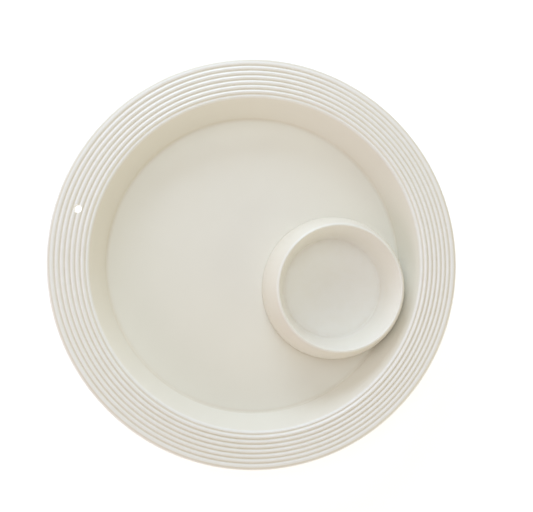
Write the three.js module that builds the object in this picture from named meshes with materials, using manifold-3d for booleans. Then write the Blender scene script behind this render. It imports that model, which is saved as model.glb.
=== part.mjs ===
// Chip and dip server: a round glazed stoneware platter with a ribbed rim,
// and a dip bowl that drops into a shallow seat in the platter's well.
// Millimetres, +Z up. The origin is the middle of the foot ring, on the table.
// The dip bowl stands on the +X side, and the rim's hole is opposite it, on the -X side.

import * as THREE from 'three';
import { mergeVertices } from 'three/addons/utils/BufferGeometryUtils.js';
import Module from 'manifold-3d';

// --- Driving dimensions: platter ---
const RIM_RADIUS = 179;        // outer edge of the rim
const RIM_WIDTH = 33.3;        // from the well's lip to the outer edge
const RIM_THICKNESS = 6.5;     // rib crests to the rim's underside
const EDGE_BAND = 4.5;         // smooth band outside the last rib crest
const GROOVE_COUNT = 7;        // turned grooves between the lip and the edge band
const GROOVE_DEPTH = 1.5;      // at the lip
const GROOVE_FADE = 0.4;       // how much shallower the outermost groove is
const GROOVE_MOUTH = 2.6;      // groove's width at the top
const GROOVE_BED = 0.4;        // groove's width at the bottom
const LIP_DROP = 0.9;          // the lip's crest below the other rib crests
const LIP_EASE = 0.5;          // eased corner where the well's wall meets the rim
const WELL_DEPTH = 34;         // rib crests down to the well's floor
const WALL_LEAN = 10.4;        // how far the well's wall leans out over its height
const WALL_THICKNESS = 6;      // well's wall, measured level
const WALL_FILLET = 2;         // corner of the well's floor and wall
const RIM_GUSSET = 5;          // rounding under the rim, outside the wall
const HEEL_ROUND = 7;          // rounding at the bottom of the wall, outside
const FLOOR_THICKNESS = 7.5;
const FOOT_HEIGHT = 3;         // foot ring, below the floor's underside
const FOOT_WIDTH = 6;          // flat of the foot ring
const FOOT_FLARE = 2;          // each side of the foot ring spreads by this much
const FOOT_INSET = 17;         // well's floor edge in to the foot ring's middle
const HOLE_DIAMETER = 6.5;     // hole through the rim
const HOLE_GROOVE = 3;         // the groove that the hole is centred on, from 0 at the lip

// --- Driving dimensions: dip bowl ---
const BOWL_PROUD = 1;          // bowl's crest above the rim's crests
const CREST_RADIUS = 55.9;     // middle of the bowl's rounded crest
const CREST_ROUND = 1;         // half of the crest's width
const CUP_LEAN = 8.5;          // how far the cup's wall leans in, from the crest to its floor
const CUP_FLOOR_THICKNESS = 3.3;
const CUP_WALL = 4;            // cup's wall, measured level
const CUP_FILLET = 2;          // corner of the cup's floor and wall
const SKIRT_LEAN = 9.3;        // how far the skirt spreads, from the crest to its foot
const SKIRT_CURVE = 2;         // how full the skirt's side is: 1 is straight, more is rounder
const SKIRT_WALL = 4;          // skirt's wall at its foot, measured level
const HOLLOW_CROWN = 1.5;      // width of the hollow under the bowl, at its top
const SKIRT_EASE = 0.8;        // eased edge at the bottom of the skirt
const SKIRT_NEST = 4.8;        // how far the skirt is flattened against the well's wall

// --- Fits ---
const SEAT_DEPTH = 3.6;        // seat in the platter's floor that locates the cup
const SEAT_GAP = 0.3;          // under the cup and under the skirt
const SEAT_CLEARANCE = 0.8;    // round the cup, level
const NEST_CLEARANCE = 0.6;    // between the skirt's flattened side and the well's wall

// --- Resolution ---
const PLATTER_SEGMENTS = 72;
const BOWL_SEGMENTS = 56;
const HOLE_SEGMENTS = 20;
const SKIRT_STEPS = 5;
const OVERCUT = 5;             // how far a cutting solid runs past what it cuts

// --- Derived places ---
const UNDERSIDE = FOOT_HEIGHT;
const WELL_FLOOR = UNDERSIDE + FLOOR_THICKNESS;
const RIM_TOP = WELL_FLOOR + WELL_DEPTH;
const RIM_UNDERSIDE = RIM_TOP - RIM_THICKNESS;
const LIP_TOP = RIM_TOP - LIP_DROP;
const LIP_RADIUS = RIM_RADIUS - RIM_WIDTH;
const FLOOR_RADIUS = LIP_RADIUS - WALL_LEAN;
const FOOT_RADIUS = FLOOR_RADIUS - FOOT_INSET;
const GROOVE_PITCH = (RIM_WIDTH - EDGE_BAND) / GROOVE_COUNT;
const CUP_FLOOR_RADIUS = CREST_RADIUS - CREST_ROUND - CUP_LEAN;
const SKIRT_RADIUS = CREST_RADIUS + CREST_ROUND + SKIRT_LEAN;
const BOWL_REACH = FLOOR_RADIUS - SKIRT_RADIUS + SKIRT_NEST;
const CREST_TOP = RIM_TOP + BOWL_PROUD;
const CUP_BASE = WELL_FLOOR - SEAT_DEPTH + SEAT_GAP;
const CUP_FLOOR = CUP_BASE + CUP_FLOOR_THICKNESS;
const SKIRT_FOOT = WELL_FLOOR + SEAT_GAP;

const wasm = await Module();
wasm.setup();

// Radius of the well's wall, inside, at height z.
function wellRadius(z) {
  return FLOOR_RADIUS + WALL_LEAN * (z - WELL_FLOOR) / WELL_DEPTH;
}

// Radius of the middle of groove number index, counted from the lip.
function grooveRadius(index) {
  return LIP_RADIUS + (index + 0.5) * GROOVE_PITCH;
}

// Depth of groove number index, counted from the lip.
function grooveDepth(index) {
  return GROOVE_DEPTH - GROOVE_FADE * index / Math.max(1, GROOVE_COUNT - 1);
}

// Points [r, z] along a circular arc, ends included. Angles are in degrees from +r towards +z.
function arc(centreR, centreZ, radius, fromDegrees, toDegrees, steps) {
  const points = [];
  for (let i = 0; i <= steps; i += 1) {
    const angle = THREE.MathUtils.degToRad(fromDegrees + (toDegrees - fromDegrees) * i / steps);
    points.push([centreR + radius * Math.cos(angle), centreZ + radius * Math.sin(angle)]);
  }
  return points;
}

// Three or more points that round the corner of a profile between two straight runs.
function roundCorner(before, corner, after, size, steps) {
  const toBefore = new THREE.Vector2(before[0] - corner[0], before[1] - corner[1]).setLength(size);
  const toAfter = new THREE.Vector2(after[0] - corner[0], after[1] - corner[1]).setLength(size);
  const bend = new THREE.QuadraticBezierCurve(
    new THREE.Vector2(corner[0] + toBefore.x, corner[1] + toBefore.y),
    new THREE.Vector2(corner[0], corner[1]),
    new THREE.Vector2(corner[0] + toAfter.x, corner[1] + toAfter.y),
  );
  return bend.getPoints(steps).map((point) => [point.x, point.y]);
}

// A closed solid from any closed three.js geometry.
function solidOf(geometry) {
  const bare = geometry.clone();
  bare.deleteAttribute('normal');
  bare.deleteAttribute('uv');
  const merged = mergeVertices(bare, 1e-4);
  const index = Array.from(merged.index.array);
  const triangles = [];
  for (let i = 0; i < index.length; i += 3) {
    const [a, b, c] = index.slice(i, i + 3);
    if (a !== b && b !== c && c !== a) {
      triangles.push(a, b, c);
    }
  }
  return new wasm.Manifold(new wasm.Mesh({
    numProp: 3,
    vertProperties: new Float32Array(merged.attributes.position.array),
    triVerts: new Uint32Array(triangles),
  }));
}

// A solid turned about Z from a profile of [r, z] points, which runs from the axis at the bottom,
// round the outside, to the axis at the top.
function turned(profile, segments) {
  const points = profile.map(([r, z]) => new THREE.Vector2(r, z));
  const geometry = new THREE.LatheGeometry(points, segments);
  geometry.rotateX(Math.PI / 2);
  return solidOf(geometry);
}

// A named mesh from a solid.
function meshOf(name, solid, material) {
  const { vertProperties, triVerts } = solid.getMesh();
  const geometry = new THREE.BufferGeometry();
  geometry.setAttribute('position', new THREE.BufferAttribute(vertProperties, 3));
  geometry.setIndex(new THREE.BufferAttribute(triVerts, 1));
  geometry.computeVertexNormals();
  const mesh = new THREE.Mesh(geometry, material);
  mesh.name = name;
  return mesh;
}

// --- Platter ---

// The foot ring's section, from its inside to its outside.
function footProfile() {
  const half = FOOT_WIDTH / 2;
  return [
    [FOOT_RADIUS - half - FOOT_FLARE, UNDERSIDE],
    [FOOT_RADIUS - half, 0],
    [FOOT_RADIUS + half, 0],
    [FOOT_RADIUS + half + FOOT_FLARE, UNDERSIDE],
  ];
}

// The underside: floor, foot ring, heel, the wall's outside and the rim's underside.
function undersideProfile() {
  const heel = [wellRadius(UNDERSIDE) + WALL_THICKNESS, UNDERSIDE];
  const armpit = [wellRadius(RIM_UNDERSIDE) + WALL_THICKNESS, RIM_UNDERSIDE];
  const rimEdge = [RIM_RADIUS, RIM_UNDERSIDE];
  return [
    [0, UNDERSIDE],
    ...footProfile(),
    ...roundCorner([FOOT_RADIUS, UNDERSIDE], heel, armpit, HEEL_ROUND, 3),
    ...roundCorner(heel, armpit, rimEdge, RIM_GUSSET, 2),
  ];
}

// The rim's rounded outer edge, from underneath to the top.
function edgeProfile() {
  const radius = RIM_THICKNESS / 2;
  return arc(RIM_RADIUS - radius, RIM_TOP - radius, radius, -90, 90, 6);
}

// The turned grooves in the rim's top, from the outer edge in to the lip.
function grooveProfile() {
  const mouth = GROOVE_MOUTH / 2;
  const bed = GROOVE_BED / 2;
  const points = [];
  for (let index = GROOVE_COUNT - 1; index >= 0; index -= 1) {
    const middle = grooveRadius(index);
    const bottom = RIM_TOP - grooveDepth(index);
    points.push([middle + mouth, RIM_TOP]);
    points.push([middle + bed, bottom]);
    points.push([middle - bed, bottom]);
    points.push([middle - mouth, index === 0 ? LIP_TOP : RIM_TOP]);
  }
  return points;
}

// The well: lip, wall and floor.
function wellProfile() {
  const shoulder = [grooveRadius(0), LIP_TOP];
  const landWidth = (GROOVE_PITCH - GROOVE_MOUTH) / 2;
  const lip = [wellRadius(LIP_TOP), LIP_TOP];
  const corner = [FLOOR_RADIUS, WELL_FLOOR];
  const middle = [0, WELL_FLOOR];
  return [
    ...roundCorner(shoulder, lip, corner, Math.min(LIP_EASE, 0.8 * landWidth), 1),
    ...roundCorner(lip, corner, middle, WALL_FILLET, 2),
    middle,
  ];
}

// The shallow seat in the floor that locates the cup.
function bowlSeat() {
  const radius = cupBaseRadius() + SEAT_CLEARANCE;
  const profile = [
    [0, WELL_FLOOR - SEAT_DEPTH],
    [radius, WELL_FLOOR - SEAT_DEPTH],
    [radius, WELL_FLOOR + OVERCUT],
    [0, WELL_FLOOR + OVERCUT],
  ];
  return turned(profile, BOWL_SEGMENTS).translate([BOWL_REACH, 0, 0]);
}

// The hole through the rim, opposite the bowl.
function rimHole() {
  const drill = new THREE.CylinderGeometry(
    HOLE_DIAMETER / 2,
    HOLE_DIAMETER / 2,
    RIM_THICKNESS + 2 * OVERCUT,
    HOLE_SEGMENTS,
  );
  drill.rotateX(Math.PI / 2);
  drill.translate(-grooveRadius(HOLE_GROOVE), 0, RIM_TOP - RIM_THICKNESS / 2);
  return solidOf(drill);
}

function platterSolid() {
  const profile = [
    ...undersideProfile(),
    ...edgeProfile(),
    ...grooveProfile(),
    ...wellProfile(),
  ];
  return turned(profile, PLATTER_SEGMENTS).subtract(bowlSeat()).subtract(rimHole());
}

// --- Dip bowl ---

// Radius of the cup's inside wall at height z.
function cupRadius(z) {
  return CUP_FLOOR_RADIUS + CUP_LEAN * (z - CUP_FLOOR) / (CREST_TOP - CUP_FLOOR);
}

// Radius of the skirt's outside at height z.
function skirtRadius(z) {
  const rise = Math.max(0, z - SKIRT_FOOT) / (CREST_TOP - SKIRT_FOOT);
  return SKIRT_RADIUS - SKIRT_LEAN * rise ** SKIRT_CURVE;
}

// Radius of the skirt's inside at height z: a straight cone.
function skirtInside(z) {
  return SKIRT_RADIUS - SKIRT_WALL - SKIRT_LEAN * (z - SKIRT_FOOT) / (CREST_TOP - SKIRT_FOOT);
}

// The skirt's side, from above its eased foot to under the crest.
function skirtSide(crestBase) {
  const foot = SKIRT_FOOT + SKIRT_EASE;
  const points = [];
  for (let step = 0; step <= SKIRT_STEPS; step += 1) {
    const z = foot + (crestBase - foot) * step / SKIRT_STEPS;
    points.push([skirtRadius(z), z]);
  }
  return points;
}

// Radius of the cup's outside where it stands in the seat.
function cupBaseRadius() {
  return cupRadius(SKIRT_FOOT) + CUP_WALL;
}

// The bowl's outside with nothing hollowed: the cup's base, the skirt and the crest.
function bowlBlank() {
  const crestBase = CREST_TOP - CREST_ROUND;
  const profile = [
    [0, CUP_BASE],
    [cupBaseRadius(), CUP_BASE],
    [cupBaseRadius(), SKIRT_FOOT],
    [SKIRT_RADIUS - SKIRT_EASE, SKIRT_FOOT],
    ...skirtSide(crestBase),
    ...arc(CREST_RADIUS, crestBase, CREST_ROUND, 30, 150, 4),
    [cupRadius(crestBase), crestBase],
    [cupRadius(CUP_FLOOR + CUP_FILLET), CUP_FLOOR + CUP_FILLET],
    [CUP_FLOOR_RADIUS - CUP_FILLET, CUP_FLOOR],
    [0, CUP_FLOOR],
  ];
  return turned(profile, BOWL_SEGMENTS);
}

// Height of the hollow's top: there the two walls leave only its crown between them.
function hollowTop() {
  const footWidth = skirtInside(SKIRT_FOOT) - cupBaseRadius();
  const closing = SKIRT_LEAN / (CREST_TOP - SKIRT_FOOT) + CUP_LEAN / (CREST_TOP - CUP_FLOOR);
  return SKIRT_FOOT + (footWidth - HOLLOW_CROWN) / closing;
}

// The hollow between the cup and the skirt, open underneath.
function underSkirt() {
  const inner = cupBaseRadius();
  const outer = skirtInside(SKIRT_FOOT);
  const top = hollowTop();
  const profile = [
    [inner, SKIRT_FOOT - OVERCUT],
    [outer, SKIRT_FOOT - OVERCUT],
    [outer, SKIRT_FOOT],
    [skirtInside(top), top],
    [cupRadius(top) + CUP_WALL, top],
    [inner, SKIRT_FOOT],
    [inner, SKIRT_FOOT - OVERCUT],
  ];
  return turned(profile, BOWL_SEGMENTS);
}

// The space inside the well's wall, less a gap all round and clear of the floor's corner.
function wellSpace(gap) {
  const foot = wellRadius(WELL_FLOOR) - gap - WALL_FILLET;
  const above = CREST_TOP + OVERCUT;
  const profile = [
    [0, UNDERSIDE],
    [foot, UNDERSIDE],
    [foot, WELL_FLOOR],
    [wellRadius(WELL_FLOOR + WALL_FILLET) - gap, WELL_FLOOR + WALL_FILLET],
    [wellRadius(above) - gap, above],
    [0, above],
  ];
  return turned(profile, PLATTER_SEGMENTS).translate([-BOWL_REACH, 0, 0]);
}

function dipBowlSolid() {
  const outside = bowlBlank().intersect(wellSpace(NEST_CLEARANCE));
  const hollow = underSkirt().intersect(wellSpace(NEST_CLEARANCE + SKIRT_WALL));
  return outside.subtract(hollow).translate([BOWL_REACH, 0, 0]);
}

// --- Assembly ---

function glaze(colour) {
  return new THREE.MeshStandardMaterial({ color: colour, roughness: 0.35, metalness: 0 });
}

const server = new THREE.Group();
server.name = 'chip_and_dip_server';
server.add(meshOf('platter', platterSolid(), glaze(0xe9e4d6)));
server.add(meshOf('dip_bowl', dipBowlSolid(), glaze(0xeae6da)));

export default server;
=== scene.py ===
"""Chip and dip server: a ribbed stoneware platter with a lift-out dip bowl, on a pale studio floor."""

import math

import bmesh
import bpy
from bpy.props import FloatProperty, FloatVectorProperty, IntProperty, PointerProperty
from bpy.types import Operator, Panel, PropertyGroup
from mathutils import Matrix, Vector


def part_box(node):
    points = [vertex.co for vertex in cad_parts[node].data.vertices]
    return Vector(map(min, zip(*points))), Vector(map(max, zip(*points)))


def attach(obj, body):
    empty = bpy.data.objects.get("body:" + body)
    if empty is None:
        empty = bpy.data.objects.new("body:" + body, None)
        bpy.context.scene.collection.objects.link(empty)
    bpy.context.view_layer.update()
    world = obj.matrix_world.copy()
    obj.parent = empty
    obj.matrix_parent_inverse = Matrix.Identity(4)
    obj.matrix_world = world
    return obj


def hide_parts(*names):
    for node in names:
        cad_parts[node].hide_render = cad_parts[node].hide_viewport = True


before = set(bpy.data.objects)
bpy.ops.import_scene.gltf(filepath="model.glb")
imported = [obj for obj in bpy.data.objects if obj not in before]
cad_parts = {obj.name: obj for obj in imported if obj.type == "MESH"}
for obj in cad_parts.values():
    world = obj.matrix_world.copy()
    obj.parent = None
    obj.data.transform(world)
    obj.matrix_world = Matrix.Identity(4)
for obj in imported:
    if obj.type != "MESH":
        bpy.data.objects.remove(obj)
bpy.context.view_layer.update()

bl_info = {
    "name": "Chip and Dip Server",
    "version": (1, 0, 0),
    "blender": (4, 5, 0),
    "location": "View3D > Sidebar > Server",
    "description": "Makes a glazed stoneware chip and dip server on a studio floor",
    "category": "Add Mesh",
}

PLATTER_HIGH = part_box("platter")[1]
BOWL_LOW, BOWL_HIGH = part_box("dip_bowl")

# How finely the outlines are drawn and spun.
WELD = 1e-6                  # vertices closer than this are one
PLATTER_STEPS = 288          # steps round the turned platter
BOWL_STEPS = 192             # steps round the turned bowl and its seat
HOLE_STEPS = 96              # steps round the hole
ROUNDING_STEPS = 4           # steps across a rounded corner
RIB_STEPS = 12               # outline steps from one rib crest to the next
LIP_STEPS = 6                # outline steps over the rolled lip
SKIRT_STEPS = 14             # outline steps up the skirt's outside
SKIRT_INSIDE_CUTS = 12       # rings up the skirt's inside
CREST_STEPS = 8              # outline steps over the bowl's crest
START_PLANE = 0.01           # side of the plane that an outline starts from
SMOOTH_ANGLE = 40            # degrees; sharper edges stay crisp
NORMAL_WEIGHT = 50           # neutral weight of the weighted normals

# Roundings of the platter's outline, in metres.
NO_ROUNDING = 0.0
FOOT_FILLET = 0.0012         # where the foot ring meets the underside
FOOT_ROUND = 0.0010          # the foot ring's two lower corners
HEEL_ROUND = 0.007           # underside into the well's outer wall
GUSSET_ROUND = 0.005         # outer wall into the rim's underside
EDGE_ROUND_SHARE = 0.48      # the rim's outer edge, as a share of its thickness
FLOOR_FILLET = 0.0015        # well's wall into its floor

# The hole's softened mouths.
HOLE_EASE = 0.0005           # depth of a softened mouth
HOLE_FLARE = 0.0002          # how far a mouth starts to open
HOLE_MOUTH_SHARE = 0.6       # share of the flare at the rim's own faces
HOLE_PAST_SHARE = 3          # share of the flare beyond the rim's faces
HOLE_ROUND = 0.0006          # rounding of a mouth
HOLE_PAST = 0.004            # how far the cutter reaches beyond the rim's faces

# The seat's softened corner and edge.
SEAT_CORNER = 0.0006         # rounding where the seat's wall meets its floor
SEAT_EDGE = 0.0004           # width and height of the softened edge
SEAT_EDGE_LOW = 0.0003       # rounding at the foot of the softened edge
SEAT_EDGE_HIGH = 0.0002      # rounding at the top of the softened edge
SEAT_PAST = 0.002            # how far the cutter reaches above the floor
SEAT_PAST_SPREAD = 0.0014    # how far it spreads up there

# Roundings of the bowl's outline.
CUP_BASE_ROUND = 0.0009      # cup's wall into its underside
CUP_FILLET = 0.001           # cup's wall beside the skirt's foot
HOLLOW_ROUND = 0.0006        # the hollow's crown
SKIRT_INNER_ROUND = 0.0008   # inside corner of the skirt's foot
SKIRT_OUTER_ROUND = 0.0003   # outside corner of the skirt's foot, which is crisp
SKIRT_SIDE_START = 0.0012    # the full side starts this far above the skirt's foot
CUP_FLOOR_FILLET = 0.0014    # cup's wall into its floor
CREST_ARC_START = 25         # degrees from level, outside, where the crest's arc starts
CREST_ARC = 130              # degrees that the crest's arc turns through

# The space that the skirt is pressed into, and which rings are divided for it.
WELL_CORNER = 0.002          # size of the chamfer that clears the wall's fillet
WELL_PAST = 0.01             # how far the space reaches above the bowl
RING_FROM_FOOT = 0.0006      # divided stretch starts this far above the skirt's foot
RING_FROM_CROWN = 0.0005     # and ends this far below the hollow's crown
RING_REACH = 0.0009          # a point this near to the skirt's inside is on it

# Where the colour is lighter (thin glaze, and painted light on crests and in the bowl's cup), where it is
# darker (gathered glaze, and painted shade in grooves, corners and down the skirt) and where the clay is
# bare.
GROOVE_START = 0.35          # share of a groove's depth where the darker colour starts: gathered glaze and painted shade
RIM_BLEND = 3                # the rim's masks fade in over this many groove depths
CORNER_WIDTH = 0.004         # gathered glaze and painted shade, in from the foot of the well's wall
CORNER_HEIGHT = 0.003        # and up it
FLOOR_SKIN_LOW = 0.0005      # a floor's skin is told from what lies below it
FLOOR_SKIN_HIGH = 0.0001     # between these depths under the floor
BARE_LOW = 0.0003            # bare clay up to here above a foot
BARE_HIGH = 0.0008           # and glaze from here
CREST_DEPTH = 0.0022         # the lighter crest colour, thin glaze and painted highlight, reaches this far below the bowl's crest
CREST_THIN_AND_HIGHLIGHT = 0.4             # how much lighter it is there
CUP_FLOOR_PAINTED_LIGHT = 0.6         # painted light on the cup's floor, lifting its shade
CUP_WALL_LESS_PAINTED_LIGHT = 0.35      # how much less painted light there is up the cup's wall
CUP_WALL_BLEND = 0.012       # height over which that changes
CUP_CORNER_WIDTH = 0.006     # gathered glaze and painted shade, in from the foot of the cup's wall
CUP_CORNER_HEIGHT = 0.005    # and up it
SKIRT_PAINTED_SHADE = 0.6           # painted shade down the skirt's side, in the gathered glaze's colour
SKIRT_BARE_LOW = 0.0002      # the skirt's foot is bare up to here
SKIRT_BARE_HIGH = 0.0006     # and glazed from here
SKIRT_BARE_INSIDE = 0.057    # the skirt's foot starts between these radii
SKIRT_BARE_OUTSIDE = 0.058   # about the bowl's own axis

# The glaze's unevenness: sizes of the features, in metres, and how strong they are.
CLOUD_SIZE = 0.045           # broad clouding
CLOUD_STRENGTH = 0.5
MOTTLE_SIZE = 0.007          # fine mottling
MOTTLE_STRENGTH = 0.12
MOTTLE_DETAIL = 3.0
EVEN_LIFT = 1.02             # how much lighter the lightest of the even glaze is
SOFT_LOW, SOFT_HIGH = 0.3, 0.7
POOLED_AND_SHADE_BASE = 0.55           # share of the darker colour where glaze gathers and shade is painted
POOLED_AND_SHADE_CLOUD = 0.25
THIN_AND_LIGHT_BASE = 0.75             # share of the lighter colour where glaze is thin and light is painted
THIN_AND_LIGHT_MOTTLE = 0.25
GRIT_SIZE = 0.0009           # grit in the bare clay
GRIT_LOW, GRIT_HIGH = 0.25, 0.75
GRIT_DETAIL = 3.0
CLAY_DARK, CLAY_LIGHT = 0.9, 1.1
SMEAR_SIZE = 0.018           # uneven satin
SMEAR_LOW, SMEAR_HIGH = 0.35, 0.7
SMEAR_DETAIL = 4.0
SMEAR_ROUGHNESS = 0.07
POOLED_GLOSS = 0.05          # where the darker colour lies, gathered glaze and painted shade alike, it is this much glossier
BARE_ROUGHNESS = 0.85
RIPPLE_SIZE = 0.011          # slow ripple in the surface
RIPPLE_HEIGHT = 0.00006
PEEL_SIZE = 0.0022           # fine ripple on top of it
PEEL_HEIGHT = 0.000006
GRIT_HEIGHT = 0.00005
GLAZE_IOR = 1.5

# Soft lights: name, heading from +X and height above the floor in degrees, distance as a share of the
# stage's light distance, brightness on the server, colour.
SOFT_LIGHTS = [
    ("key_light", 121.0, 20.0, 0.6, 1.22, (0.66, 0.81, 1.0)),
    ("top_light", 121.0, 70.0, 1.0, 0.50, (0.66, 0.84, 1.0)),
    ("left_light", 211.0, 20.0, 1.0, 0.33, (0.94, 0.86, 1.0)),
    ("front_light", 256.0, 20.0, 1.0, 0.21, (0.94, 0.88, 1.0)),
    ("right_light", 346.0, 20.0, 1.0, 0.38, (0.94, 1.0, 0.84)),
]


# ---------------------------------------------------------------------------
# Sizes and colours
# ---------------------------------------------------------------------------


def size(name, description, default):
    """A length property in metres."""
    return FloatProperty(name=name, description=description, default=default, unit="LENGTH", precision=5)


def colour(name, description, default):
    """A linear colour property."""
    return FloatVectorProperty(
        name=name, description=description, default=default, subtype="COLOR", size=3, min=0.0, max=1.0
    )


class PlatterSizes(PropertyGroup):
    """The platter's driving sizes."""

    rim_radius: size("Rim radius", "Outer edge of the rim", PLATTER_HIGH.x)
    rim_top: size("Rim height", "Rib crests above the table", PLATTER_HIGH.z)
    rim_width: size("Rim width", "From the well's lip to the outer edge", 0.0333)
    rim_thickness: size("Rim thickness", "Rib crests to the rim's underside", 0.0065)
    edge_band: size("Edge band", "Smooth band outside the last rib crest", 0.0045)
    groove_count: IntProperty(name="Grooves", description="Turned grooves in the rim", default=7, min=1)
    groove_depth: size("Groove depth", "Depth of the groove at the lip", 0.0015)
    groove_fade: size("Groove fade", "How much shallower the outermost groove is", 0.0004)
    groove_ease: FloatProperty(
        name="Groove ease", description="How far the glaze rounds the grooves' beds", default=0.22, min=0.01
    )
    lip_drop: size("Lip drop", "The lip's crest below the rib crests", 0.0011)
    lip_round: size("Lip round", "Rounding where the well's wall meets the rim", 0.0014)
    well_depth: size("Well depth", "Rib crests down to the well's floor", 0.034)
    wall_lean: size("Wall lean", "How far the well's wall leans out over its height", 0.0104)
    wall_thickness: size("Wall thickness", "Well's wall, measured level", 0.006)
    floor_thickness: size("Floor thickness", "Well's floor to its underside", 0.0075)
    foot_width: size("Foot width", "Flat of the foot ring", 0.006)
    foot_flare: size("Foot flare", "How far each side of the foot ring spreads", 0.002)
    foot_inset: size("Foot inset", "Well's floor edge in to the foot ring's middle", 0.017)
    hole_diameter: size("Hole diameter", "Hole through the rim", 0.0065)
    hole_groove: IntProperty(name="Hole groove", description="Groove that the hole is centred on", default=3)
    seat_depth: size("Seat depth", "Seat in the floor that locates the bowl", 0.0036)


class BowlSizes(PropertyGroup):
    """The dip bowl's driving sizes."""

    crest_top: size("Crest height", "Top of the bowl above the table", BOWL_HIGH.z)
    base: size("Base height", "Underside of the cup above the table", BOWL_LOW.z)
    crest_radius: size("Crest radius", "Middle of the rounded crest", 0.0559)
    crest_round: size("Crest round", "Half of the crest's width", 0.001)
    cup_lean: size("Cup lean", "How far the cup's wall leans in", 0.0085)
    cup_floor: size("Cup floor", "Thickness of the cup's floor", 0.0033)
    cup_wall: size("Cup wall", "Cup's wall, measured level", 0.004)
    skirt_lean: size("Skirt lean", "How far the skirt spreads", 0.0093)
    skirt_curve: FloatProperty(
        name="Skirt curve", description="How full the skirt's side is: 1 is straight, more is rounder",
        default=2.0,
    )
    skirt_wall: size("Skirt wall", "Skirt's wall at its foot, measured level", 0.004)
    skirt_nest: size("Skirt nest", "How far the skirt is flattened against the well's wall", 0.0048)
    hollow_crown: size("Hollow crown", "Width of the hollow under the bowl, at its top", 0.0015)
    seat_gap: size("Seat gap", "Under the skirt", 0.0001)
    seat_clearance: size("Seat clearance", "Round the cup in its seat, level", 0.0008)
    nest_clearance: size("Nest clearance", "Between the skirt and the well's wall", 0.0006)


class GlazeColours(PropertyGroup):
    """The glaze's and the clay's colours and finish."""

    glaze: colour("Glaze", "Warm white of the even glaze", (0.910, 0.885, 0.800))
    # The thin colour is thin glaze on edges and also painted light: a painted highlight on the crests, and
    # painted light lifting the shade in the bowl's cup.
    thin_and_painted_light: colour("Thin glaze", "Where the glaze runs thin over edges", (0.975, 0.968, 0.940))
    # The pooled colour is gathered glaze and also painted shade: in the grooves, at the feet of the walls,
    # and down the bowl's skirt.
    pooled_and_painted_shade: colour("Pooled glaze", "Where the glaze gathers in grooves and corners", (0.840, 0.785, 0.670))
    clay: colour("Bare clay", "Unglazed clay under the foot ring", (0.62, 0.55, 0.44))
    roughness: FloatProperty(name="Roughness", description="Satin glaze", default=0.32, subtype="FACTOR")


class StageSettings(PropertyGroup):
    """The floor, the lights and the camera."""

    floor_size: size("Floor size", "Side of the floor", 12.0)
    light_power: FloatProperty(
        name="Light power", description="Power of a soft light of brightness 1", default=10.0, unit="POWER"
    )
    light_size: size("Light size", "Side of a soft light at the full distance", 0.9)
    light_distance: size("Light distance", "From the server to the farthest soft lights", 1.5)
    fill: FloatProperty(name="Fill", description="Strength of the light from all round", default=0.458)
    fill_colour: colour("Fill colour", "Colour of the light from all round", (1.0, 0.86, 0.70))
    camera_place: FloatVectorProperty(
        name="Camera place", description="Where the camera stands", default=(-0.0521, -0.0388, 0.5605),
        subtype="TRANSLATION", unit="LENGTH",
    )
    camera_turn: FloatVectorProperty(
        name="Camera turn", description="The camera's turn about X, Y and Z",
        default=(math.radians(0.364), math.radians(-8.160), math.radians(16.356)), subtype="EULER",
    )
    camera_lens: FloatProperty(name="Lens", description="Focal length in millimetres", default=40.53)
    camera_sensor: FloatProperty(name="Sensor", description="Sensor width in millimetres", default=36.0)
    camera_shift: FloatVectorProperty(
        name="Shift", description="How far the view is shifted across and up", size=2,
        default=(-0.0183, 0.0566),
    )
    camera_near: size("Near", "Nearest distance that the camera sees", 0.01)
    floor_shade: FloatProperty(name="Floor shade", description="How pale the floor is", default=0.9)
    floor_glow: FloatProperty(
        name="Floor glow", description="How much the floor shines by itself", default=0.42
    )


# ---------------------------------------------------------------------------
# Places worked out from the sizes
# ---------------------------------------------------------------------------


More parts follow.
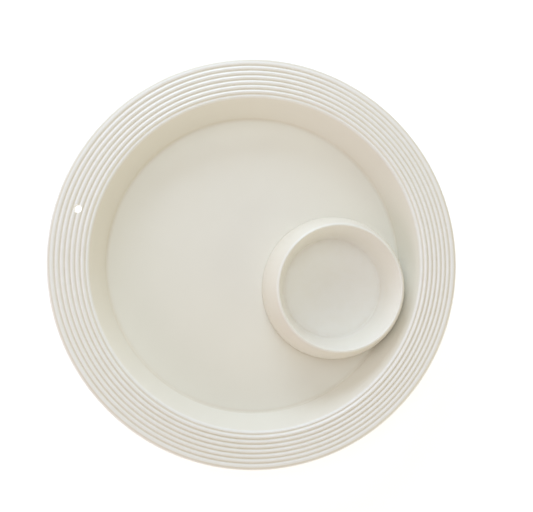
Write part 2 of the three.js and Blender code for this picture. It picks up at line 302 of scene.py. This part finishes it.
class Plan:
    """Places that the pieces share, worked out from the sizes."""

    def __init__(self, platter, bowl):
        self.platter = platter
        self.bowl = bowl
        self.lip_radius = platter.rim_radius - platter.rim_width
        self.floor_radius = self.lip_radius - platter.wall_lean
        self.well_floor = platter.rim_top - platter.well_depth
        self.underside = self.well_floor - platter.floor_thickness
        self.rim_underside = platter.rim_top - platter.rim_thickness
        self.lip_top = platter.rim_top - platter.lip_drop
        self.foot_radius = self.floor_radius - platter.foot_inset
        self.groove_pitch = (platter.rim_width - platter.edge_band) / platter.groove_count
        self.skirt_radius = bowl.crest_radius + bowl.crest_round + bowl.skirt_lean
        self.skirt_foot = self.well_floor + bowl.seat_gap
        self.bowl_reach = self.floor_radius - self.skirt_radius + bowl.skirt_nest
        self.cup_floor = bowl.base + bowl.cup_floor
        self.cup_floor_radius = bowl.crest_radius - bowl.crest_round - bowl.cup_lean
        self.cup_base_radius = self.cup_radius(self.skirt_foot) + bowl.cup_wall

    def wall_radius(self, height):
        """Radius of the well's wall, inside."""
        rise = (height - self.well_floor) / self.platter.well_depth
        return self.floor_radius + self.platter.wall_lean * rise

    def groove_radius(self, index):
        """Radius of the middle of a groove, counted from the lip."""
        return self.lip_radius + (index + 0.5) * self.groove_pitch

    def groove_depth(self, index):
        """Depth of a groove, counted from the lip."""
        platter = self.platter
        return platter.groove_depth - platter.groove_fade * index / max(1, platter.groove_count - 1)

    def cup_radius(self, height):
        """Radius of the cup's wall, inside, about the bowl's own axis."""
        rise = (height - self.cup_floor) / (self.bowl.crest_top - self.cup_floor)
        return self.cup_floor_radius + self.bowl.cup_lean * rise

    def skirt_rise(self, height):
        """How far up the skirt a height is, from 0 at its foot to 1 at the crest."""
        return max(0.0, height - self.skirt_foot) / (self.bowl.crest_top - self.skirt_foot)

    def skirt_outside(self, height):
        """Radius of the skirt's full outside, about the bowl's own axis."""
        return self.skirt_radius - self.bowl.skirt_lean * self.skirt_rise(height) ** self.bowl.skirt_curve

    def skirt_inside(self, height):
        """Radius of the skirt's straight inside, about the bowl's own axis."""
        return self.skirt_radius - self.bowl.skirt_wall - self.bowl.skirt_lean * self.skirt_rise(height)

    def hollow_top(self):
        """Height where the cup's and the skirt's walls leave only the hollow's crown between them."""
        bowl = self.bowl
        foot_width = self.skirt_inside(self.skirt_foot) - self.cup_base_radius
        closing = bowl.skirt_lean / (bowl.crest_top - self.skirt_foot)
        closing += bowl.cup_lean / (bowl.crest_top - self.cup_floor)
        return self.skirt_foot + (foot_width - bowl.hollow_crown) / closing


def plan():
    """The plan for the scene's present sizes."""
    scene = bpy.context.scene
    return Plan(scene.server_platter, scene.server_bowl)


# ---------------------------------------------------------------------------
# Modelling: outlines drawn corner by corner, rounded and spun
# ---------------------------------------------------------------------------


def select_vertices(piece, wanted):
    """Selects the vertices in edit mode for which wanted(position) is true."""
    bpy.ops.mesh.select_mode(type="VERT")
    bpy.ops.mesh.select_all(action="DESELECT")
    mesh = bmesh.from_edit_mesh(piece.data)
    for vertex in mesh.verts:
        vertex.select = wanted(vertex.co)
    mesh.select_flush_mode()
    bmesh.update_edit_mesh(piece.data)


def draw_outline(name, corners, axis_x):
    """Draws corners of (radius, height, rounding) as a wire in the XZ plane and leaves it in edit mode."""
    bpy.ops.object.select_all(action="DESELECT")
    first_radius, first_height, _ = corners[0]
    bpy.ops.mesh.primitive_plane_add(size=START_PLANE, location=(axis_x, 0, 0))
    piece = bpy.context.active_object
    piece.name = name
    piece.data.name = name
    bpy.ops.object.transform_apply(location=True)
    bpy.ops.object.mode_set(mode="EDIT")
    bpy.ops.mesh.select_all(action="SELECT")
    bpy.ops.mesh.merge(type="CENTER")
    bpy.ops.transform.translate(value=(first_radius, 0, first_height))
    for (radius, height, _), (next_radius, next_height, _) in zip(corners, corners[1:]):
        step = (next_radius - radius, 0, next_height - height)
        bpy.ops.mesh.extrude_vertices_move(TRANSFORM_OT_translate={"value": step})
    return piece


def round_corners(piece, corners, axis_x):
    """Rounds the outline's corners, all corners of one rounding at a time."""
    for rounding in sorted({corner[2] for corner in corners} - {NO_ROUNDING}):
        places = [Vector((axis_x + r, 0, z)) for r, z, own in corners if own == rounding]
        select_vertices(piece, lambda point: any((point - place).length < WELD * 10 for place in places))
        bpy.ops.mesh.bevel(
            offset=rounding, offset_type="OFFSET", segments=ROUNDING_STEPS, profile=0.5, affect="VERTICES"
        )


def spin_outline(piece, axis_x, steps):
    """Spins the outline about its upright axis into a closed skin."""
    bpy.ops.mesh.select_all(action="SELECT")
    bpy.ops.mesh.spin(steps=steps, angle=math.tau, center=(axis_x, 0, 0), axis=(0, 0, 1))
    bpy.ops.mesh.select_all(action="SELECT")
    bpy.ops.mesh.remove_doubles(threshold=WELD)
    bpy.ops.mesh.normals_make_consistent(inside=False)


def turned(name, corners, steps, axis_x=0.0, divide=()):
    """A closed turned piece. divide holds pairs of a test and a number of cuts, for straight runs."""
    piece = draw_outline(name, corners, axis_x)
    round_corners(piece, corners, axis_x)
    for wanted, cuts in divide:
        select_vertices(piece, wanted)
        bpy.ops.mesh.subdivide(number_cuts=cuts)
    spin_outline(piece, axis_x, steps)
    bpy.ops.object.mode_set(mode="OBJECT")
    return piece


def apply_modifier(piece, kind, **settings):
    """Adds a modifier with its settings and applies it."""
    bpy.ops.object.select_all(action="DESELECT")
    bpy.context.view_layer.objects.active = piece
    piece.select_set(True)
    bpy.ops.object.modifier_add(type=kind)
    modifier = piece.modifiers[-1]
    for key, value in settings.items():
        setattr(modifier, key, value)
    bpy.ops.object.modifier_apply(modifier=modifier.name)


def cut_away(piece, cutter):
    """Cuts the cutter's shape out of the piece and removes the cutter."""
    apply_modifier(piece, "BOOLEAN", operation="DIFFERENCE", solver="EXACT", object=cutter)
    bpy.data.objects.remove(cutter, do_unlink=True)


def finish_surface(piece):
    """Smooth shading that keeps the flats flat."""
    bpy.ops.object.select_all(action="DESELECT")
    bpy.context.view_layer.objects.active = piece
    piece.select_set(True)
    bpy.ops.object.shade_smooth_by_angle(angle=math.radians(SMOOTH_ANGLE))
    apply_modifier(piece, "WEIGHTED_NORMAL", mode="FACE_AREA", weight=NORMAL_WEIGHT, keep_sharp=True)


# ---------------------------------------------------------------------------
# Shader maths
# ---------------------------------------------------------------------------


class Signal:
    """A shader socket that adds Math nodes when it is used in an expression."""

    def __init__(self, bench, socket):
        self.bench = bench
        self.socket = socket

    def _math(self, operation, *values):
        return self.bench.node("ShaderNodeMath", {"operation": operation}, dict(enumerate(values)))

    def __add__(self, other):
        return self._math("ADD", self, other)

    def __radd__(self, other):
        return self._math("ADD", other, self)

    def __sub__(self, other):
        return self._math("SUBTRACT", self, other)

    def __rsub__(self, other):
        return self._math("SUBTRACT", other, self)

    def __mul__(self, other):
        return self._math("MULTIPLY", self, other)

    def __rmul__(self, other):
        return self._math("MULTIPLY", other, self)

    def cosine(self):
        return self._math("COSINE", self)

    def root(self):
        return self._math("SQRT", self)

    def between(self, low, high):
        """0 below low, 1 above high, smooth between them."""
        settings = {"interpolation_type": "SMOOTHSTEP"}
        inputs = {"Value": self, "From Min": low, "From Max": high}
        return self.bench.node("ShaderNodeMapRange", settings, inputs)

    def most(self, other):
        return self._math("MAXIMUM", self, other)


class Bench:
    """Makes one material's nodes."""

    def __init__(self, name):
        self.material = bpy.data.materials.new(name)
        self.material.use_nodes = True
        self.tree = self.material.node_tree
        self.tree.nodes.clear()

    def node(self, kind, settings=None, inputs=None, output=0):
        """Adds a node: its settings first, then its sockets' values or links. Returns an output, if any."""
        made = self.tree.nodes.new(kind)
        for key, value in (settings or {}).items():
            setattr(made, key, value)
        for key, value in (inputs or {}).items():
            if isinstance(value, Signal):
                self.tree.links.new(value.socket, made.inputs[key])
            else:
                made.inputs[key].default_value = value
        return Signal(self, made.outputs[output]) if made.outputs else None

    def blend(self, factor, low, high):
        """Mixes two colours."""
        settings = {"data_type": "RGBA", "blend_type": "MIX"}
        return self.node("ShaderNodeMix", settings, {0: factor, 6: (*low, 1.0), 7: (*high, 1.0)}, output=2)

    def mix_into(self, base, factor, shade):
        """Mixes a plain colour into a colour signal."""
        settings = {"data_type": "RGBA", "blend_type": "MIX"}
        return self.node("ShaderNodeMix", settings, {0: factor, 6: base, 7: (*shade, 1.0)}, output=2)

    def mix_signals(self, factor, low, high):
        """Mixes two colour signals."""
        settings = {"data_type": "RGBA", "blend_type": "MIX"}
        return self.node("ShaderNodeMix", settings, {0: factor, 6: low, 7: high}, output=2)

    def place(self):
        """The object's own coordinates as three signals and the whole vector."""
        vector = self.node("ShaderNodeTexCoord", output="Object")
        split = self.tree.nodes.new("ShaderNodeSeparateXYZ")
        self.tree.links.new(vector.socket, split.inputs[0])
        return [Signal(self, socket) for socket in split.outputs], vector

    def noise(self, vector, grain, detail=2.0):
        """Soft noise from 0 to 1 whose features are about grain metres across."""
        inputs = {"Vector": vector, "Scale": 1.0 / grain, "Detail": detail, "Roughness": 0.5}
        return self.node("ShaderNodeTexNoise", None, inputs)


# ---------------------------------------------------------------------------
# Glaze
# ---------------------------------------------------------------------------


def platter_masks(place, shape):
    """Where the colour is lighter on the rib crests (thin glaze and painted highlight), where it is darker
    in the grooves and at the foot of the well's wall (gathered glaze and painted shade), and where the clay
    is bare, on the platter.
    """
    across, along, height = place
    platter = shape.platter
    radius = (across * across + along * along).root()
    turn = (radius - shape.lip_radius) * (math.tau / shape.groove_pitch)
    # Painted highlight and shade across the rim: the crests are lightened and the grooves' beds darkened,
    # partly as thin and gathered glaze.
    groove = (0.5 - 0.5 * turn.cosine()).between(GROOVE_START, 1.0)
    rim_from = platter.rim_top - RIM_BLEND * platter.groove_depth
    on_rim = height.between(rim_from, platter.rim_top - platter.groove_depth)
    # Painted shade, with gathered glaze, at the foot of the well's wall.
    corner_out = radius.between(shape.floor_radius - CORNER_WIDTH, shape.floor_radius)
    corner_up = height.between(shape.well_floor, shape.well_floor + CORNER_HEIGHT)
    inside = height.between(shape.well_floor - FLOOR_SKIN_LOW, shape.well_floor - FLOOR_SKIN_HIGH)
    thin_and_painted_light = (1 - groove) * on_rim
    pooled_and_painted_shade = (groove * on_rim).most(corner_out * (1 - corner_up) * inside)
    bare = 1 - height.between(BARE_LOW, BARE_HIGH)
    return thin_and_painted_light, pooled_and_painted_shade, bare


def bowl_masks(place, shape):
    """Where the colour is lighter on the crest (thin glaze and painted highlight) and in the cup (painted
    light lifting its shade), where it is darker at the foot of the cup's wall (gathered glaze and painted
    shade) and down the skirt's side (painted shade), and where the clay is bare, on the dip bowl.
    """
    across, along, height = place
    bowl = shape.bowl
    outward = across - shape.bowl_reach
    radius = (outward * outward + along * along).root()
    cup_floor = shape.cup_floor
    crest = height.between(bowl.crest_top - CREST_DEPTH, bowl.crest_top)
    outside = radius.between(bowl.crest_radius - bowl.crest_round, bowl.crest_radius + bowl.crest_round)
    above_floor = height.between(cup_floor - FLOOR_SKIN_LOW, cup_floor - FLOOR_SKIN_HIGH)
    up_wall = height.between(cup_floor, cup_floor + CUP_WALL_BLEND)
    # Painted light: the cup's floor and the foot of its wall are lightened to lift their shade.
    cup_painted_light = above_floor * (1 - outside) * (CUP_FLOOR_PAINTED_LIGHT - CUP_WALL_LESS_PAINTED_LIGHT * up_wall)
    # Lighter crest (painted highlight, partly thin glaze) and lighter cup (painted light).
    thin_and_painted_light = (CREST_THIN_AND_HIGHLIGHT * crest).most(cup_painted_light * (1 - crest))
    # Painted shade, with gathered glaze, at the foot of the cup's wall, and painted shade down the skirt's
    # side.
    corner_out = radius.between(shape.cup_floor_radius - CUP_CORNER_WIDTH, shape.cup_floor_radius)
    corner = corner_out * (1 - height.between(cup_floor, cup_floor + CUP_CORNER_HEIGHT))
    pooled_and_painted_shade = corner.most(SKIRT_PAINTED_SHADE * outside * (1 - crest))
    under_cup = 1 - height.between(bowl.base + BARE_LOW, bowl.base + BARE_HIGH)
    foot = shape.skirt_foot
    under_skirt = 1 - height.between(foot + SKIRT_BARE_LOW, foot + SKIRT_BARE_HIGH)
    bare = under_cup.most(under_skirt * radius.between(SKIRT_BARE_INSIDE, SKIRT_BARE_OUTSIDE))
    return thin_and_painted_light, pooled_and_painted_shade, bare


def glaze_material(name, masks, shape, colours):
    """Satin glaze over clay with a faint unevenness: lighter on edges (thin glaze and painted highlight) and
    in the bowl's cup (painted light), darker in grooves and corners (gathered glaze and painted shade) and
    down the bowl's skirt (painted shade).
    """
    bench = Bench(name)
    place, vector = bench.place()
    thin_and_painted_light, pooled_and_painted_shade, bare = masks(place, shape)
    cloud = bench.noise(vector, CLOUD_SIZE).between(SOFT_LOW, SOFT_HIGH)
    mottle = bench.noise(vector, MOTTLE_SIZE, MOTTLE_DETAIL).between(SOFT_LOW, SOFT_HIGH)
    uneven = CLOUD_STRENGTH * cloud + MOTTLE_STRENGTH * mottle
    even = bench.blend(uneven, colours.glaze, lighter(colours.glaze, EVEN_LIFT))
    # Darker where shade is painted and glaze gathers; lighter where light is painted and glaze is thin.
    glazed = bench.mix_into(even, pooled_and_painted_shade * (POOLED_AND_SHADE_BASE + POOLED_AND_SHADE_CLOUD * cloud), colours.pooled_and_painted_shade)
    glazed = bench.mix_into(glazed, thin_and_painted_light * (THIN_AND_LIGHT_BASE + THIN_AND_LIGHT_MOTTLE * mottle), colours.thin_and_painted_light)
    grit = bench.noise(vector, GRIT_SIZE, GRIT_DETAIL).between(GRIT_LOW, GRIT_HIGH)
    clay = bench.blend(grit, lighter(colours.clay, CLAY_DARK), lighter(colours.clay, CLAY_LIGHT))
    shaded = bench.mix_signals(bare, glazed, clay)
    smear = bench.noise(vector, SMEAR_SIZE, SMEAR_DETAIL).between(SMEAR_LOW, SMEAR_HIGH)
    satin = colours.roughness + SMEAR_ROUGHNESS * smear - POOLED_GLOSS * pooled_and_painted_shade
    rough = satin + bare * (BARE_ROUGHNESS - satin)
    slow, fine = bench.noise(vector, RIPPLE_SIZE, 1.0), bench.noise(vector, PEEL_SIZE)
    relief = slow * RIPPLE_HEIGHT + fine * PEEL_HEIGHT + bare * grit * GRIT_HEIGHT
    bump = bench.node("ShaderNodeBump", None, {"Strength": 1.0, "Distance": 1.0, "Height": relief})
    inputs = {"Base Color": shaded, "Roughness": rough, "Normal": bump, "IOR": GLAZE_IOR}
    surface = bench.node("ShaderNodeBsdfPrincipled", None, inputs)
    bench.node("ShaderNodeOutputMaterial", None, {"Surface": surface})
    return bench.material


def lighter(shade, factor):
    """The colour times a factor."""
    return tuple(min(1.0, part * factor) for part in shade)


# ---------------------------------------------------------------------------
# Pieces
# ---------------------------------------------------------------------------


def bead(turn, ease):
    """Height of a row of rounded beads, from 1 on their crests to 0 in the eased beds between them."""
    return (math.hypot(math.cos(math.pi * turn), ease) - ease) / (math.hypot(1.0, ease) - ease)


def rib_corners(shape):
    """The ribs in the rim's top, from the outermost crest in to the bed of the groove at the lip."""
    platter = shape.platter
    corners = []
    for step in range(platter.groove_count * RIB_STEPS, RIB_STEPS // 2, -1):
        turn = step / RIB_STEPS
        depth = shape.groove_depth(min(platter.groove_count - 1, int(turn)))
        radius = shape.lip_radius + turn * shape.groove_pitch
        height = platter.rim_top - depth * (1 - bead(turn, platter.groove_ease))
        corners.append((radius, height, NO_ROUNDING))
    return corners


def lip_corners(shape):
    """The lip: a low crest inside the last groove, rolled over into the well's wall."""
    platter = shape.platter
    bed = platter.rim_top - shape.groove_depth(0)
    lean = math.atan(platter.wall_lean / platter.well_depth)
    middle_height = shape.lip_top - platter.lip_round
    touch_height = middle_height + platter.lip_round * math.sin(lean)
    middle = shape.wall_radius(touch_height) + platter.lip_round * math.cos(lean)
    start = shape.groove_radius(0)
    corners = []
    for step in range(RIB_STEPS // 2):
        share = step / (RIB_STEPS // 2)
        rise = bead((share - 1) / 2, platter.groove_ease)
        corners.append((start + (middle - start) * share, bed + (shape.lip_top - bed) * rise, NO_ROUNDING))
    for step in range(LIP_STEPS + 1):
        angle = math.pi / 2 + (math.pi / 2 - lean) * step / LIP_STEPS
        radius = middle + platter.lip_round * math.cos(angle)
        corners.append((radius, middle_height + platter.lip_round * math.sin(angle), NO_ROUNDING))
    return corners


def platter_corners(shape):
    """The platter's outline, from the axis underneath, round the outside, to the axis in the well."""
    platter = shape.platter
    half_foot = platter.foot_width / 2
    wall_top = shape.wall_radius(shape.rim_underside) + platter.wall_thickness
    edge_rounding = platter.rim_thickness * EDGE_ROUND_SHARE
    return [
        (0.0, shape.underside, NO_ROUNDING),
        (shape.foot_radius - half_foot - platter.foot_flare, shape.underside, FOOT_FILLET),
        (shape.foot_radius - half_foot, 0.0, FOOT_ROUND),
        (shape.foot_radius + half_foot, 0.0, FOOT_ROUND),
        (shape.foot_radius + half_foot + platter.foot_flare, shape.underside, FOOT_FILLET),
        (shape.wall_radius(shape.underside) + platter.wall_thickness, shape.underside, HEEL_ROUND),
        (wall_top, shape.rim_underside, GUSSET_ROUND),
        (platter.rim_radius, shape.rim_underside, edge_rounding),
        (platter.rim_radius, platter.rim_top, edge_rounding),
        *rib_corners(shape),
        *lip_corners(shape),
        (shape.floor_radius, shape.well_floor, FLOOR_FILLET),
        (0.0, shape.well_floor, NO_ROUNDING),
    ]


def hole_cutter(shape):
    """The hole's shape, with softened mouths where it meets the rim's two faces."""
    platter = shape.platter
    radius = platter.hole_diameter / 2
    top, bottom = platter.rim_top - platter.groove_depth / 2, shape.rim_underside
    mouth = radius + HOLE_FLARE * HOLE_MOUTH_SHARE
    past = radius + HOLE_FLARE * HOLE_PAST_SHARE
    corners = [
        (0.0, bottom - HOLE_PAST, NO_ROUNDING),
        (past, bottom - HOLE_PAST, NO_ROUNDING),
        (mouth, bottom, HOLE_ROUND),
        (radius, bottom + HOLE_EASE, HOLE_ROUND),
        (radius, top - HOLE_EASE, HOLE_ROUND),
        (mouth, top, HOLE_ROUND),
        (past, top + HOLE_PAST, NO_ROUNDING),
        (0.0, top + HOLE_PAST, NO_ROUNDING),
    ]
    return turned("hole_cutter", corners, HOLE_STEPS, -shape.groove_radius(platter.hole_groove))


def seat_cutter(shape):
    """The seat's shape, with a softened corner and a softened edge."""
    radius = shape.cup_base_radius + shape.bowl.seat_clearance
    bottom = shape.well_floor - shape.platter.seat_depth
    corners = [
        (0.0, bottom, NO_ROUNDING),
        (radius, bottom, SEAT_CORNER),
        (radius, shape.well_floor - SEAT_EDGE, SEAT_EDGE_LOW),
        (radius + SEAT_EDGE, shape.well_floor, SEAT_EDGE_HIGH),
        (radius + SEAT_PAST_SPREAD, shape.well_floor + SEAT_PAST, NO_ROUNDING),
        (0.0, shape.well_floor + SEAT_PAST, NO_ROUNDING),
    ]
    return turned("seat_cutter", corners, BOWL_STEPS, shape.bowl_reach)


def skirt_side(shape):
    """The skirt's full side, from above its foot to under the crest."""
    foot = shape.skirt_foot + SKIRT_SIDE_START
    top = shape.bowl.crest_top - shape.bowl.crest_round
    heights = [foot + (top - foot) * step / SKIRT_STEPS for step in range(SKIRT_STEPS + 1)]
    return [(shape.skirt_outside(height), height, NO_ROUNDING) for height in heights]


def crest_arc(shape):
    """The bowl's rounded crest, from its outside to its inside."""
    bowl = shape.bowl
    middle = bowl.crest_top - bowl.crest_round
    corners = []
    for step in range(CREST_STEPS + 1):
        angle = math.radians(CREST_ARC_START + CREST_ARC * step / CREST_STEPS)
        radius = bowl.crest_radius + bowl.crest_round * math.cos(angle)
        corners.append((radius, middle + bowl.crest_round * math.sin(angle), NO_ROUNDING))
    return corners


def bowl_corners(shape):
    """The bowl's outline, from the axis underneath, up the hollow, round the skirt and into the cup."""
    bowl = shape.bowl
    crown = shape.hollow_top()
    return [
        (0.0, bowl.base, NO_ROUNDING),
        (shape.cup_base_radius, bowl.base, CUP_BASE_ROUND),
        (shape.cup_base_radius, shape.skirt_foot, CUP_FILLET),
        (shape.cup_radius(crown) + bowl.cup_wall, crown, HOLLOW_ROUND),
        (shape.skirt_inside(crown), crown, HOLLOW_ROUND),
        (shape.skirt_inside(shape.skirt_foot), shape.skirt_foot, SKIRT_INNER_ROUND),
        (shape.skirt_radius, shape.skirt_foot, SKIRT_OUTER_ROUND),
        *skirt_side(shape),
        *crest_arc(shape),
        (shape.cup_floor_radius, shape.cup_floor, CUP_FLOOR_FILLET),
        (0.0, shape.cup_floor, NO_ROUNDING),
    ]


def well_space(shape, gap):
    """The space inside the well's wall, less a gap, for pressing the skirt against."""
    foot = shape.floor_radius - gap - WELL_CORNER
    corner_top = shape.well_floor + WELL_CORNER
    above = shape.bowl.crest_top + WELL_PAST
    corners = [
        (0.0, 0.0, NO_ROUNDING),
        (foot, 0.0, NO_ROUNDING),
        (foot, shape.well_floor, NO_ROUNDING),
        (shape.wall_radius(corner_top) - gap, corner_top, NO_ROUNDING),
        (shape.wall_radius(above) - gap, above, NO_ROUNDING),
        (0.0, above, NO_ROUNDING),
    ]
    return turned("well_space", corners, PLATTER_STEPS)


def press_inside(piece, space, wanted):
    """Presses the wanted vertices that stand outside the space onto its skin."""
    group = piece.vertex_groups.new(name="pressed")
    chosen = [vertex.index for vertex in piece.data.vertices if wanted(vertex.co)]
    group.add(chosen, 1.0, "REPLACE")
    apply_modifier(
        piece, "SHRINKWRAP", target=space, wrap_method="NEAREST_SURFACEPOINT", wrap_mode="INSIDE",
        vertex_group=group.name,
    )
    piece.vertex_groups.remove(piece.vertex_groups["pressed"])
    bpy.data.objects.remove(space, do_unlink=True)


def bowl_blank(shape):
    """The bowl before its skirt is flattened, with rings up the skirt's inside as well as its outside."""
    reach = shape.bowl_reach
    low, high = shape.skirt_foot + RING_FROM_FOOT, shape.hollow_top() - RING_FROM_CROWN

    def inside_skirt(point):
        return low < point.z < high and abs(point.x - reach - shape.skirt_inside(point.z)) < RING_REACH

    rings = [(inside_skirt, SKIRT_INSIDE_CUTS)]
    return turned("dip_bowl_glazed", bowl_corners(shape), BOWL_STEPS, reach, divide=rings)


class SERVER_OT_make_platter(Operator):
    """Make the platter: a spun outline with the seat and the rim's hole cut into it"""

    bl_idname = "server.make_platter"
    bl_label = "Make platter"

    def execute(self, context):
        shape = plan()
        piece = turned("platter_glazed", platter_corners(shape), PLATTER_STEPS)
        cut_away(piece, seat_cutter(shape))
        cut_away(piece, hole_cutter(shape))
        finish_surface(piece)
        material = glaze_material("platter_glaze", platter_masks, shape, context.scene.server_glaze)
        piece.data.materials.append(material)
        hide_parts("platter")
        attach(piece, "platter")
        return {"FINISHED"}


class SERVER_OT_make_dip_bowl(Operator):
    """Make the dip bowl: a spun outline whose skirt is pressed flat along the well's wall"""

    bl_idname = "server.make_dip_bowl"
    bl_label = "Make dip bowl"

    def execute(self, context):
        shape = plan()
        bowl = shape.bowl
        reach = shape.bowl_reach
        piece = bowl_blank(shape)

        def hollow(point):
            radius = math.hypot(point.x - reach, point.y)
            middle = (shape.skirt_inside(point.z) + shape.skirt_outside(point.z)) / 2
            return shape.cup_base_radius < radius < middle and point.z > shape.skirt_foot - WELD

        press_inside(piece, well_space(shape, bowl.nest_clearance), lambda point: True)
        press_inside(piece, well_space(shape, bowl.nest_clearance + bowl.skirt_wall), hollow)
        finish_surface(piece)
        material = glaze_material("bowl_glaze", bowl_masks, shape, context.scene.server_glaze)
        piece.data.materials.append(material)
        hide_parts("dip_bowl")
        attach(piece, "dip_bowl")
        return {"FINISHED"}


# ---------------------------------------------------------------------------
# Stage
# ---------------------------------------------------------------------------


def make_floor(stage):
    """A plain pale floor that the server stands on."""
    bpy.ops.object.select_all(action="DESELECT")
    bpy.ops.mesh.primitive_plane_add(size=stage.floor_size, location=(0, 0, 0))
    floor = bpy.context.active_object
    floor.name = "studio_floor"
    bench = Bench("studio_floor")
    pale = (stage.floor_shade, stage.floor_shade, stage.floor_shade, 1.0)
    inputs = {"Base Color": pale, "Roughness": 0.9, "Specular IOR Level": 0.1}
    inputs |= {"Emission Color": (1.0, 1.0, 1.0, 1.0), "Emission Strength": stage.floor_glow}
    surface = bench.node("ShaderNodeBsdfPrincipled", None, inputs)
    bench.node("ShaderNodeOutputMaterial", None, {"Surface": surface})
    floor.data.materials.append(bench.material)


def make_lights(stage):
    """Large soft lights all round, strongest at the key light's heading, and a warm fill from all round."""
    for name, heading, height, reach, brightness, shade in SOFT_LIGHTS:
        level = math.cos(math.radians(height))
        toward = Vector((
            math.cos(math.radians(heading)) * level, math.sin(math.radians(heading)) * level,
            math.sin(math.radians(height)),
        ))
        bpy.ops.object.light_add(type="AREA", location=toward * stage.light_distance * reach)
        light = bpy.context.active_object
        light.name = name
        light.rotation_euler = toward.to_track_quat("Z", "Y").to_euler()
        light.data.energy = stage.light_power * brightness * reach ** 2
        light.data.size = stage.light_size * reach
        light.data.color = shade
    world = bpy.data.worlds.new("studio")
    bpy.context.scene.world = world
    world.use_nodes = True
    background = world.node_tree.nodes["Background"]
    background.inputs["Color"].default_value = (*stage.fill_colour, 1.0)
    background.inputs["Strength"].default_value = stage.fill


def make_camera(stage):
    """The camera, high over the server and a little to one side."""
    bpy.ops.object.camera_add(location=stage.camera_place, rotation=stage.camera_turn)
    camera = bpy.context.active_object
    camera.name = "camera"
    camera.data.lens = stage.camera_lens
    camera.data.sensor_width = stage.camera_sensor
    camera.data.shift_x, camera.data.shift_y = stage.camera_shift
    camera.data.clip_start = stage.camera_near
    bpy.context.scene.camera = camera


class SERVER_OT_make_stage(Operator):
    """Make the floor, the lights and the camera"""

    bl_idname = "server.make_stage"
    bl_label = "Make stage"

    def execute(self, context):
        stage = context.scene.server_stage
        make_floor(stage)
        make_lights(stage)
        make_camera(stage)
        context.scene.view_settings.view_transform = "Standard"
        context.scene.view_settings.look = "None"
        return {"FINISHED"}


# ---------------------------------------------------------------------------
# Panel and registration
# ---------------------------------------------------------------------------


class SERVER_PT_panel(Panel):
    """The server's sizes, colours and steps"""

    bl_idname = "SERVER_PT_panel"
    bl_label = "Chip and Dip Server"
    bl_space_type = "VIEW_3D"
    bl_region_type = "UI"
    bl_category = "Server"

    def draw(self, context):
        layout = self.layout
        for pointer, operator in STEPS:
            settings = getattr(context.scene, pointer)
            box = layout.box()
            for key in settings.__annotations__:
                box.prop(settings, key)
            if operator is not None:
                box.operator(operator.bl_idname)


POINTERS = {
    "server_platter": PlatterSizes,
    "server_bowl": BowlSizes,
    "server_glaze": GlazeColours,
    "server_stage": StageSettings,
}

STEPS = [
    ("server_glaze", None),
    ("server_platter", SERVER_OT_make_platter),
    ("server_bowl", SERVER_OT_make_dip_bowl),
    ("server_stage", SERVER_OT_make_stage),
]

CLASSES = [
    *POINTERS.values(),
    SERVER_OT_make_platter,
    SERVER_OT_make_dip_bowl,
    SERVER_OT_make_stage,
    SERVER_PT_panel,
]


def register():
    for entry in CLASSES:
        bpy.utils.register_class(entry)
    for name, group in POINTERS.items():
        setattr(bpy.types.Scene, name, PointerProperty(type=group))


def unregister():
    for name in POINTERS:
        delattr(bpy.types.Scene, name)
    for entry in reversed(CLASSES):
        bpy.utils.unregister_class(entry)


def main():
    register()
    bpy.ops.server.make_stage()
    bpy.ops.server.make_platter()
    bpy.ops.server.make_dip_bowl()


if __name__ == "__main__":
    main()
